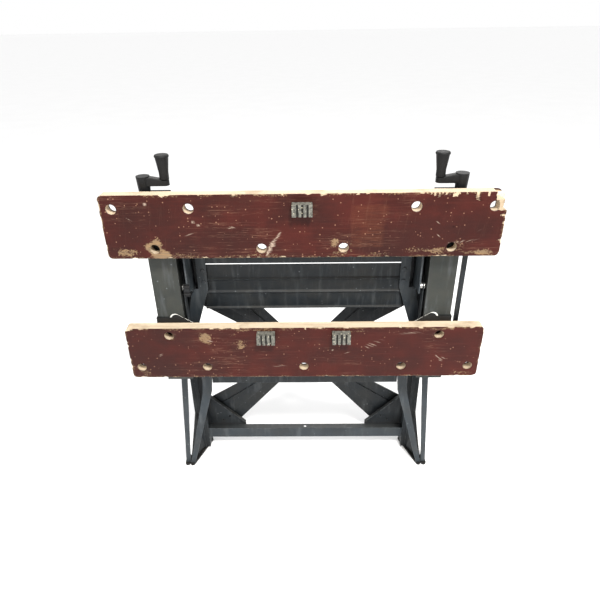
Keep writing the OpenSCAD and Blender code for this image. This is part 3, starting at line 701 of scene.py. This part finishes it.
def build_board(name, node, body, up, chips, scuffs, pale, label, end_cut, seed):
    """A jaw board: both faces, the outline's wall and the hole walls, with chips and worn patches."""
    lo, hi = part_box(node)
    length, width = hi.x - lo.x, hi.z - lo.z
    flat, quads, rims = board_grid(length, width, up)
    rng = np.random.default_rng(seed)
    all_chips = chips + random_chips(length, width, rng, 46)
    square = flat.copy()
    border = np.minimum.reduce([
        square[:, 0] + length / 2, length / 2 - square[:, 0], square[:, 1], width - square[:, 1],
    ])
    flat = rounded_corners(flat, length, width)
    flat_3 = np.column_stack([flat, np.zeros(len(flat))])
    depth = chip_field(flat, all_chips, seed)
    edge_round = 0.0008 * (1 - smooth(0.0, 0.0012, border))
    rim_set = np.zeros(len(flat), bool)
    rim_set[np.concatenate(rims)] = True
    depth = depth + edge_round + np.where(rim_set, 0.0007, 0.0)
    centre = np.array([0.0, width / 2])
    bite = np.clip(depth - 0.0008, 0, None) * 0.35 + end_cut(flat)
    inward = -np.sign(flat - centre) * (border < 1e-6)[:, None]
    back_bite = end_cut(flat) * 0.75
    wear_noise = rough(flat_3, 0.02, seed + 3)
    on_outline = border < 1e-6

    def face(y, d, shift):
        moved = flat + inward * shift[:, None]
        pull = end_cut(flat) * smooth(0.02, 0.0, border) * (~on_outline)
        moved[:, 0] -= np.sign(flat[:, 0]) * pull
        return np.column_stack([moved[:, 0], y + d, moved[:, 1] + lo.z])

    front = face(lo.y, depth, bite)
    rear = face(hi.y - (BACK_GAP if up else 0.0), -edge_round - np.where(rim_set, 0.0005, 0), back_bite)
    count = len(flat)
    loop = outline_loop(quads, rims, count)
    walls, wall_points, start = [], [], 2 * count
    marks = [np.zeros((count, 4)), np.zeros((count, 4))]
    for ring, is_hole in [(loop, False)] + [(r, True) for r in rims]:
        a, b = front[ring], rear[ring]
        layers = np.linspace(0, 1, 4 if is_hole else 8)[1:-1]
        mid = a[None] + (b - a)[None] * layers[:, None, None]
        if not is_hole:
            side = np.sign(flat[ring] - centre) * 1.0
            jag = (rough(mid.reshape(-1, 3), 0.0035, seed + 11).reshape(len(layers), -1) - 0.5) * 0.0011
            jag = jag - 0.0004
            mid[:, :, 0] += side[None, :, 0] * jag * (np.abs(flat[ring][:, 0]) > length / 2 - 1e-4)
            mid[:, :, 2] += side[None, :, 1] * jag * (np.abs(flat[ring][:, 1] - width / 2) > width / 2 - 1e-4)
        added = mid.shape[0] * mid.shape[1]
        wall_points.append(mid.reshape(-1, 3))
        marks.append(np.tile([1.0, 0.0, 0.0, 0.0], (added, 1)))
        between = np.arange(added).reshape(mid.shape[:2]) + start
        index = np.concatenate([ring[None], between, ring[None] + count])
        start += added
        nxt = np.roll(index, -1, axis=1)
        wall = np.stack([index[:-1], index[1:], nxt[1:], nxt[:-1]], -1).reshape(-1, 4)
        walls.append(wall)
    points = np.concatenate([front, rear] + wall_points)
    faces = [quads, quads[:, ::-1] + count] + walls
    worn = smooth(0.0004, 0.0012, depth - edge_round)
    worn = np.maximum(worn, 0.75 * (border < 1e-6) + 0.35 * smooth(0.0016, 0.0, border) * (wear_noise > 0.5))
    worn = np.maximum(worn, smooth(0.0, 0.003, end_cut(flat)) * smooth(0.02, 0.012, border))
    rub = 0.5 * smooth(0.010, 0.0, border) * (wear_noise > 0.45)
    for x, z, rx, rz, turn, strength in scuffs:
        rub = np.maximum(rub, strength * patch(flat, x, z, rx, rz, seed + 13, 0.9, turn))
    light = np.zeros(count)
    for x, z, rx, rz, turn, strength in pale:
        light = np.maximum(light, strength * patch(flat, x, z, rx, rz, seed + 9, 0.35, turn))
    panel = label(flat) * (0.5 + 0.5 * wear_noise)
    marks[0] = np.column_stack([worn, light, panel, rub])
    rear_rub = 0.35 * smooth(0.5, 0.7, wear_noise)
    marks[1] = np.column_stack([0.8 * (border < 1e-6), 0 * light, 0 * light, rear_rub])
    obj = make_object(name, points, faces, material("film_plywood"), 40.0)
    paint = np.concatenate(marks)
    layer = obj.data.attributes.new("marks", "FLOAT_COLOR", "POINT")
    layer.data.foreach_set("color", paint.astype(np.float32).ravel())
    outward(obj)
    return fit_out(obj, body, "film_plywood", node)


def outline_loop(quads, rims, count):
    """The outline's points in order: edges used by one quad only, apart from the holes' rims."""
    edges = np.concatenate([quads[:, [0, 1]], quads[:, [1, 2]], quads[:, [2, 3]], quads[:, [3, 0]]])
    key = np.sort(edges, axis=1)
    _, first, times = np.unique(key, axis=0, return_index=True, return_counts=True)
    single = edges[first[times == 1]]
    rim = np.zeros(count, bool)
    rim[np.concatenate(rims)] = True
    single = single[~(rim[single[:, 0]] & rim[single[:, 1]])]
    following = dict(zip(single[:, 0].tolist(), single[:, 1].tolist()))
    at = int(single[0, 0])
    loop = [at]
    while following[at] != loop[0]:
        at = following[at]
        loop.append(at)
    return np.array(loop)


def outward(obj):
    """Turns every face of a closed mesh outwards."""
    bm = bmesh.new()
    bm.from_mesh(obj.data)
    bmesh.ops.recalc_face_normals(bm, faces=bm.faces)
    bm.to_mesh(obj.data)
    bm.free()


class BENCH_OT_jaws(bpy.types.Operator):
    """Build both jaw boards with their holes, chips, worn patches and ply edges"""

    bl_idname = "bench.jaws"
    bl_label = "Jaw boards"

    def execute(self, context):
        lo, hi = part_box("fixed_jaw")
        length, width = hi.x - lo.x, hi.z - lo.z
        right = length / 2

        def broken_end(p):
            """The fixed jaw's upper right corner is split back for 33 mm below its edge."""
            p3 = np.column_stack([p, np.zeros(len(p))])
            ragged = rough(p3, 0.009, 41) - 0.5
            below = smooth(width - 0.036, width - 0.031, p[:, 1] + 0.004 * ragged)
            return (0.0075 + 0.004 * ragged) * below * (p[:, 0] > right - 0.022)

        def panel(p):
            """A faded rectangle where a label once was."""
            inside = (np.abs(p[:, 0] - 0.123) < 0.031) & (np.abs(p[:, 1] - 0.063) < 0.042)
            return inside * 0.42

        splits = (0.229, 0.236, 0.243, 0.251, 0.257, 0.264, 0.271, 0.278, 0.286, 0.301)
        splinters = [(x, width, 0.0012 + 0.0007 * (k % 3), 0.004 + 0.0022 * (k % 4), 0.0012)
                     for k, x in enumerate(splits)]
        build_board(
            "fixed_jaw_board", "fixed_jaw", "top", True,
            [(-0.125, width, 0.003, 0.006, 0.0016), (-0.036, width, 0.002, 0.004, 0.0012),
             (0.038, width, 0.0045, 0.005, 0.0020), (0.118, width, 0.0014, 0.014, 0.0012),
             (0.103, width, 0.002, 0.006, 0.0014), (0.283, width, 0.003, 0.009, 0.0018),
             (0.321, width, 0.0035, 0.019, 0.0022), (0.341, width, 0.0025, 0.011, 0.0018),
             (right - 0.004, width, 0.021, 0.014, 0.0036),
             (right - 0.003, width - 0.045, 0.008, 0.0022, 0.0018),
             (right, width - 0.060, 0.005, 0.003, 0.0014),
             (right, width - 0.094, 0.012, 0.0016, 0.0016), (-right, width - 0.020, 0.003, 0.012, 0.0016),
             (-right, width - 0.050, 0.003, 0.010, 0.0014)] + splinters,
            [(-0.285, 0.026, 0.023, 0.026, 0.25, 1.0), (-0.272, 0.008, 0.026, 0.010, 0.0, 0.95),
             (-0.338, 0.014, 0.034, 0.013, -0.1, 0.62), (-0.250, 0.006, 0.070, 0.008, 0.0, 0.45),
             (0.093, 0.020, 0.003, 0.016, 0.1, 0.8), (0.062, 0.030, 0.012, 0.010, 0.5, 0.75),
             (0.077, 0.010, 0.022, 0.008, 0.0, 0.45), (-0.077, 0.012, 0.020, 0.006, 0.0, 0.40),
             (0.215, 0.014, 0.035, 0.008, 0.1, 0.42), (0.262, 0.012, 0.030, 0.010, 0.0, 0.60),
             (0.300, 0.024, 0.022, 0.014, 0.0, 0.42), (0.335, 0.009, 0.036, 0.007, 0.0, 0.70),
             (0.150, 0.006, 0.040, 0.006, 0.0, 0.40), (-0.10, 0.004, 0.10, 0.005, 0.0, 0.45)],
            [(-0.060, 0.025, 0.0035, 0.021, -0.45, 1.0), (-0.046, 0.046, 0.0022, 0.010, -0.5, 0.9),
             (-0.076, 0.022, 0.0012, 0.008, 0.2, 0.8), (-0.292, 0.110, 0.0028, 0.0028, 0.0, 0.9),
             (-0.207, 0.075, 0.007, 0.0014, -0.3, 0.7), (-0.196, 0.068, 0.004, 0.001, 0.3, 0.7),
             (-0.326, 0.087, 0.0008, 0.013, 0.0, 0.8), (-0.337, 0.066, 0.010, 0.0008, 0.0, 0.7),
             (-0.215, 0.050, 0.004, 0.002, 0.2, 0.5), (-0.135, 0.062, 0.006, 0.0012, 0.2, 0.6),
             (0.255, 0.068, 0.0016, 0.0016, 0.0, 0.8), (0.335, 0.052, 0.0016, 0.0014, 0.0, 0.8),
             (0.258, 0.044, 0.0012, 0.0012, 0.0, 0.8), (0.300, 0.030, 0.030, 0.0008, 0.12, 0.5)],
            panel, broken_end, 17,
        )
        build_board(
            "moving_jaw_board", "moving_jaw", "jaw_slider", False,
            [(-right, width, 0.017, 0.007, 0.0026), (0.004, width, 0.003, 0.004, 0.0016),
             (0.204, width, 0.004, 0.008, 0.0026), (right, width, 0.005, 0.005, 0.0016),
             (-0.14, width, 0.006, 0.003, 0.0012), (0.09, width, 0.008, 0.003, 0.0012)],
            [(-0.208, 0.100, 0.015, 0.020, 0.3, 0.72), (-0.150, 0.110, 0.012, 0.008, 0.2, 0.5),
             (-0.136, 0.085, 0.016, 0.017, -0.3, 0.75), (-0.284, 0.107, 0.019, 0.014, 0.0, 0.55),
             (0.10, 0.118, 0.05, 0.005, 0.0, 0.4), (0.284, 0.108, 0.020, 0.012, 0.0, 0.40),
             (-0.10, 0.122, 0.10, 0.004, 0.0, 0.5), (0.28, 0.122, 0.06, 0.004, 0.0, 0.5),
             (-0.35, 0.012, 0.02, 0.010, 0.0, 0.5), (0.34, 0.010, 0.03, 0.006, 0.0, 0.45)],
            [(-0.200, 0.095, 0.008, 0.0014, 0.4, 0.7), (-0.140, 0.092, 0.002, 0.006, 0.2, 0.8),
             (0.148, 0.085, 0.022, 0.0010, 0.55, 0.7), (0.228, 0.113, 0.026, 0.0009, 0.12, 0.6),
             (0.290, 0.050, 0.012, 0.0010, -0.7, 0.8), (0.300, 0.047, 0.009, 0.0010, 0.8, 0.8),
             (0.062, 0.070, 0.0018, 0.0018, 0.0, 0.8), (0.094, 0.064, 0.0018, 0.0014, 0.0, 0.8),
             (-0.05, 0.030, 0.012, 0.001, 0.2, 0.4), (-0.31, 0.060, 0.002, 0.004, 0.2, 0.5)],
            lambda p: np.zeros(len(p)), lambda p: np.zeros(len(p)), 29,
        )
        return {"FINISHED"}


# ---------------------------------------------------------------- everything else, refined from the frame

ROUNDED_SLOTS = ("leg_paint", "strip_paint", "channel_paint", "black_steel", "black_plastic", "peg_grey")


class BENCH_OT_sheet_metal(bpy.types.Operator):
    """Round the edges of the pressed steel and moulded parts and give them their finishes"""

    bl_idname = "bench.sheet_metal"
    bl_label = "Sheet metal"

    def execute(self, context):
        for node in frame["nodes"]:
            slot = slot_of_node(node)
            if slot in ROUNDED_SLOTS:
                refined(node, material(slot))
        return {"FINISHED"}


def threaded_rod(x, y, z0, z1, r, depth, pitch, steps=28, per_turn=10):
    """A screw thread round a vertical axis, closed at both ends.

    The point at angle a and height z lies at radius r - depth * w, where
    w = |2 frac(z / pitch - a / 2 pi) - 1| in the middle stretch and fades out over one pitch at each end.
    """
    rows = int((z1 - z0) / pitch * per_turn)
    z = np.linspace(z0, z1, rows)[:, None]
    a = 2 * np.pi * np.arange(steps)[None] / steps
    phase = z / pitch - a / (2 * np.pi)
    w = np.abs(2 * (phase - np.floor(phase)) - 1)
    fade = smooth(0, pitch, np.minimum(z - z0, z1 - z))
    rad = r - depth * w * fade
    ring = np.stack([x + rad * np.cos(a), y + rad * np.sin(a), z + 0 * a], -1).reshape(-1, 3)
    ends = np.array([[x, y, z0], [x, y, z1]])
    n = rows * steps
    c = np.arange(steps)
    low = np.stack([np.full(steps, n), (c + 1) % steps, c], -1)
    high = np.stack([np.full(steps, n + 1), c + n - steps, (c + 1) % steps + n - steps], -1)
    return np.concatenate([ring, ends]), [grid_faces(rows, steps), low, high]


class BENCH_OT_screws(bpy.types.Operator):
    """Cut the threads of the two clamping screws"""

    bl_idname = "bench.screws"
    bl_label = "Screws"

    def execute(self, context):
        _, jaw_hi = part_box("fixed_jaw")
        neck = jaw_hi.z - NECK_DROP
        for side in ("left", "right"):
            lo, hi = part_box("screw_" + side)
            mid = (lo + hi) / 2
            rod = threaded_rod(mid.x, mid.y, lo.z, neck, SCREW_R, THREAD_DEPTH, THREAD_PITCH)
            collar = lathe([(SCREW_R, neck), (COLLAR_R, neck + 0.0015), (COLLAR_R, neck + 0.0062),
                            (SCREW_R, neck + 0.0066), (SCREW_R, hi.z - 0.001), (0.0052, hi.z)],
                           (mid.x, mid.y, 0), "z", 32)
            points, faces = joined([rod, collar])
            obj = make_object("screw_thread_" + side, points, faces, material("zinc"), 50.0)
            outward(obj)
            fit_out(obj, "screw_" + side, "zinc", "screw_" + side)
        return {"FINISHED"}


class BENCH_OT_fittings(bpy.types.Operator):
    """Give the remaining carried-over nodes their finishes"""

    bl_idname = "bench.fittings"
    bl_label = "Fittings"

    def execute(self, context):
        for node, obj in frame["nodes"].items():
            if obj.hide_render:
                continue
            obj.data.materials.clear()
            obj.data.materials.append(material(slot_of_node(node)))
        return {"FINISHED"}


# ---------------------------------------------------------------- stage

def area_light(name, place, target, size, energy, colour=(1, 1, 1)):
    data = bpy.data.lights.new(name, "AREA")
    data.shape = "DISK"
    data.size = size
    data.energy = energy
    data.color = colour
    light = bpy.data.objects.new(name, data)
    light.location = place
    light.rotation_mode = "QUATERNION"
    light.rotation_quaternion = (Vector(target) - Vector(place)).to_track_quat("-Z", "Y")
    bpy.context.scene.collection.objects.link(light)
    return light


class BENCH_OT_stage(bpy.types.Operator):
    """Lay a pale floor, hang soft studio lights and place the camera"""

    bl_idname = "bench.stage"
    bl_label = "Stage"

    def execute(self, context):
        s = settings().stage
        scene = context.scene
        mesh = bpy.data.meshes.new("studio_floor")
        far = 60.0
        mesh.from_pydata([(-far, -far, 0), (far, -far, 0), (far, far, 0), (-far, far, 0)], [], [(0, 1, 2, 3)])
        floor = bpy.data.objects.new("studio_floor", mesh)
        floor_material, t, shader, place = new_material("studio_floor")
        tone = t.ramp(t.noise(place, 3.0, 2.0), 0.3, 0.7)
        t.link(t.mix(tone, rgba(s.floor, 0.985), rgba(s.floor)), shader.inputs["Base Color"])
        shader.inputs["Roughness"].default_value = 0.9
        mesh.materials.append(floor_material)
        scene.collection.objects.link(floor)
        world = bpy.data.worlds.new("studio")
        scene.world = world
        world.use_nodes = True
        world.node_tree.nodes["Background"].inputs[0].default_value = (1, 1, 1, 1)
        world.node_tree.nodes["Background"].inputs[1].default_value = s.world
        area_light("key", (0.45, -1.5, 2.5), (0, 0, 0.45), 0.5, s.key, (1.0, 0.98, 0.95))
        area_light("fill", (-1.6, -2.2, 1.2), (0, 0, 0.4), 1.8, s.fill, (0.95, 0.98, 1.0))
        area_light("rim", (0.2, 1.8, 1.6), (0, 0, 0.5), 1.4, s.rim)
        scene.view_settings.view_transform = "Standard"
        lo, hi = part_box("fixed_jaw")
        camera_data = bpy.data.cameras.new("camera")
        camera_data.lens = s.lens
        camera_data.sensor_width = 36.0
        camera = bpy.data.objects.new("camera", camera_data)
        camera.location = (s.camera_x, lo.y - s.camera_back, hi.z + s.camera_above)
        turn = Matrix.Rotation(math.radians(s.camera_turn), 4, "Z")
        pitch = Matrix.Rotation(math.radians(90 - s.camera_down), 4, "X")
        roll = Matrix.Rotation(math.radians(s.camera_roll), 4, "Z")
        camera.rotation_euler = (turn @ pitch @ roll).to_euler()
        scene.collection.objects.link(camera)
        scene.camera = camera
        return {"FINISHED"}


# ---------------------------------------------------------------- settings and panel

def colour_prop(name, description, default):
    return FloatVectorProperty(
        name=name, description=description, subtype="COLOR", size=3, min=0, max=1, default=default)


def length_prop(name, description, default):
    return FloatProperty(name=name, description=description, unit="LENGTH", default=default)


class BenchJaws(bpy.types.PropertyGroup):
    """Colours and layers of the jaw boards"""

    film: colour_prop("Film", "Resin film on the boards", (0.046, 0.0074, 0.0048))
    film_light: colour_prop("Film, light", "Film rubbed along the grain", (0.090, 0.019, 0.012))
    film_dark: colour_prop("Film, dark", "Film in dirty places", (0.022, 0.0060, 0.0045))
    label: colour_prop("Label", "Faded panel of an old label", (0.13, 0.040, 0.018))
    scuff: colour_prop("Scuff", "Scratches in the film", (0.30, 0.16, 0.10))
    pale: colour_prop("Pale marks", "Spattered paint", (0.40, 0.31, 0.24))
    rubbed: colour_prop("Rubbed", "Tan wood under rubbed film", (0.27, 0.17, 0.085))
    wood_light: colour_prop("Wood, light", "Light ply layers", (0.66, 0.56, 0.42))
    wood_dark: colour_prop("Wood, dark", "Dark ply layers", (0.42, 0.31, 0.20))
    wood_dirt: colour_prop("Wood, dirty", "Dirt in bare wood", (0.20, 0.14, 0.085))
    ply: length_prop("Ply", "Thickness of one ply layer", 0.0023)


class BenchPaint(bpy.types.PropertyGroup):
    """Colours of the painted, plated and moulded parts"""

    leg: colour_prop("Leg paint", "Dark slate-blue paint", (0.0115, 0.0150, 0.0180))
    strip: colour_prop("Strip paint", "Lighter slate-blue paint", (0.025, 0.032, 0.038))
    channel: colour_prop("Channel paint", "Grey-olive paint", (0.025, 0.028, 0.025))
    worn: colour_prop("Worn paint", "Paint rubbed thin", (0.13, 0.142, 0.150))
    dirt: colour_prop("Dirt", "Dust and mud", (0.070, 0.061, 0.046))
    black: colour_prop("Black", "Black fittings", (0.0045, 0.0048, 0.0055))
    zinc: colour_prop("Zinc", "Plated steel", (0.46, 0.46, 0.44))
    nylon: colour_prop("Nylon", "Natural nylon", (0.72, 0.72, 0.68))
    # colour of the rubbed rib faces and of the painted highlight on the pegs' upper sides
    peg_worn_and_lit: colour_prop("Peg, worn", "Rubbed faces of the pegs", (0.17, 0.165, 0.14))
    peg: colour_prop("Peg", "Moulded pegs", (0.016, 0.016, 0.014))


class BenchStage(bpy.types.PropertyGroup):
    """Floor, light and camera"""

    floor: colour_prop("Floor", "Pale studio floor", (0.96, 0.96, 0.96))
    world: FloatProperty(name="World", description="Strength of the light from all round", default=1.0)
    key: FloatProperty(name="Key", description="Power of the key light", unit="POWER", default=95.0)
    fill: FloatProperty(name="Fill", description="Power of the fill light", unit="POWER", default=8.0)
    rim: FloatProperty(name="Rim", description="Power of the light behind", unit="POWER", default=12.0)
    lens: FloatProperty(name="Lens", description="Focal length in millimetres", default=30.6)
    camera_x: length_prop("Camera across", "Place of the camera along the jaws", 0.0081)
    camera_back: length_prop("Camera back", "Distance of the camera in front of the jaw faces", 0.9081)
    camera_above: length_prop("Camera above", "Height of the camera above the fixed jaw", 0.2788)
    camera_down: FloatProperty(
        name="Pitch", description="Angle below the horizon, in degrees", default=28.835)
    camera_turn: FloatProperty(name="Turn", description="Turn about the vertical, in degrees", default=0.921)
    camera_roll: FloatProperty(
        name="Roll", description="Turn about the line of sight, in degrees", default=-0.875)


class Bench(bpy.types.PropertyGroup):
    """All settings of the bench"""

    jaws: PointerProperty(type=BenchJaws)
    paint: PointerProperty(type=BenchPaint)
    stage: PointerProperty(type=BenchStage)


OPERATORS = (BENCH_OT_jaws, BENCH_OT_screws, BENCH_OT_sheet_metal, BENCH_OT_fittings, BENCH_OT_stage)


class BENCH_PT_panel(bpy.types.Panel):
    """Lists the bench's pieces in the sidebar"""

    bl_label = "Folding bench"
    bl_idname = "BENCH_PT_panel"
    bl_space_type = "VIEW_3D"
    bl_region_type = "UI"
    bl_category = "Bench"

    def draw(self, context):
        for operator in OPERATORS:
            self.layout.operator(operator.bl_idname)
        for part in (settings().jaws, settings().paint, settings().stage):
            column = self.layout.column()
            for key in part.bl_rna.properties.keys():
                if key not in ("rna_type", "name"):
                    column.prop(part, key)


CLASSES = (BenchJaws, BenchPaint, BenchStage, Bench) + OPERATORS + (BENCH_PT_panel,)


def register():
    for cls in CLASSES:
        bpy.utils.register_class(cls)
    bpy.types.Scene.bench = PointerProperty(type=Bench)


def unregister():
    del bpy.types.Scene.bench
    for cls in reversed(CLASSES):
        bpy.utils.unregister_class(cls)


def main():
    register()
    for operator in OPERATORS:
        group, name = operator.bl_idname.split(".")
        getattr(getattr(bpy.ops, group), name)()


if __name__ == "__main__":
    main()
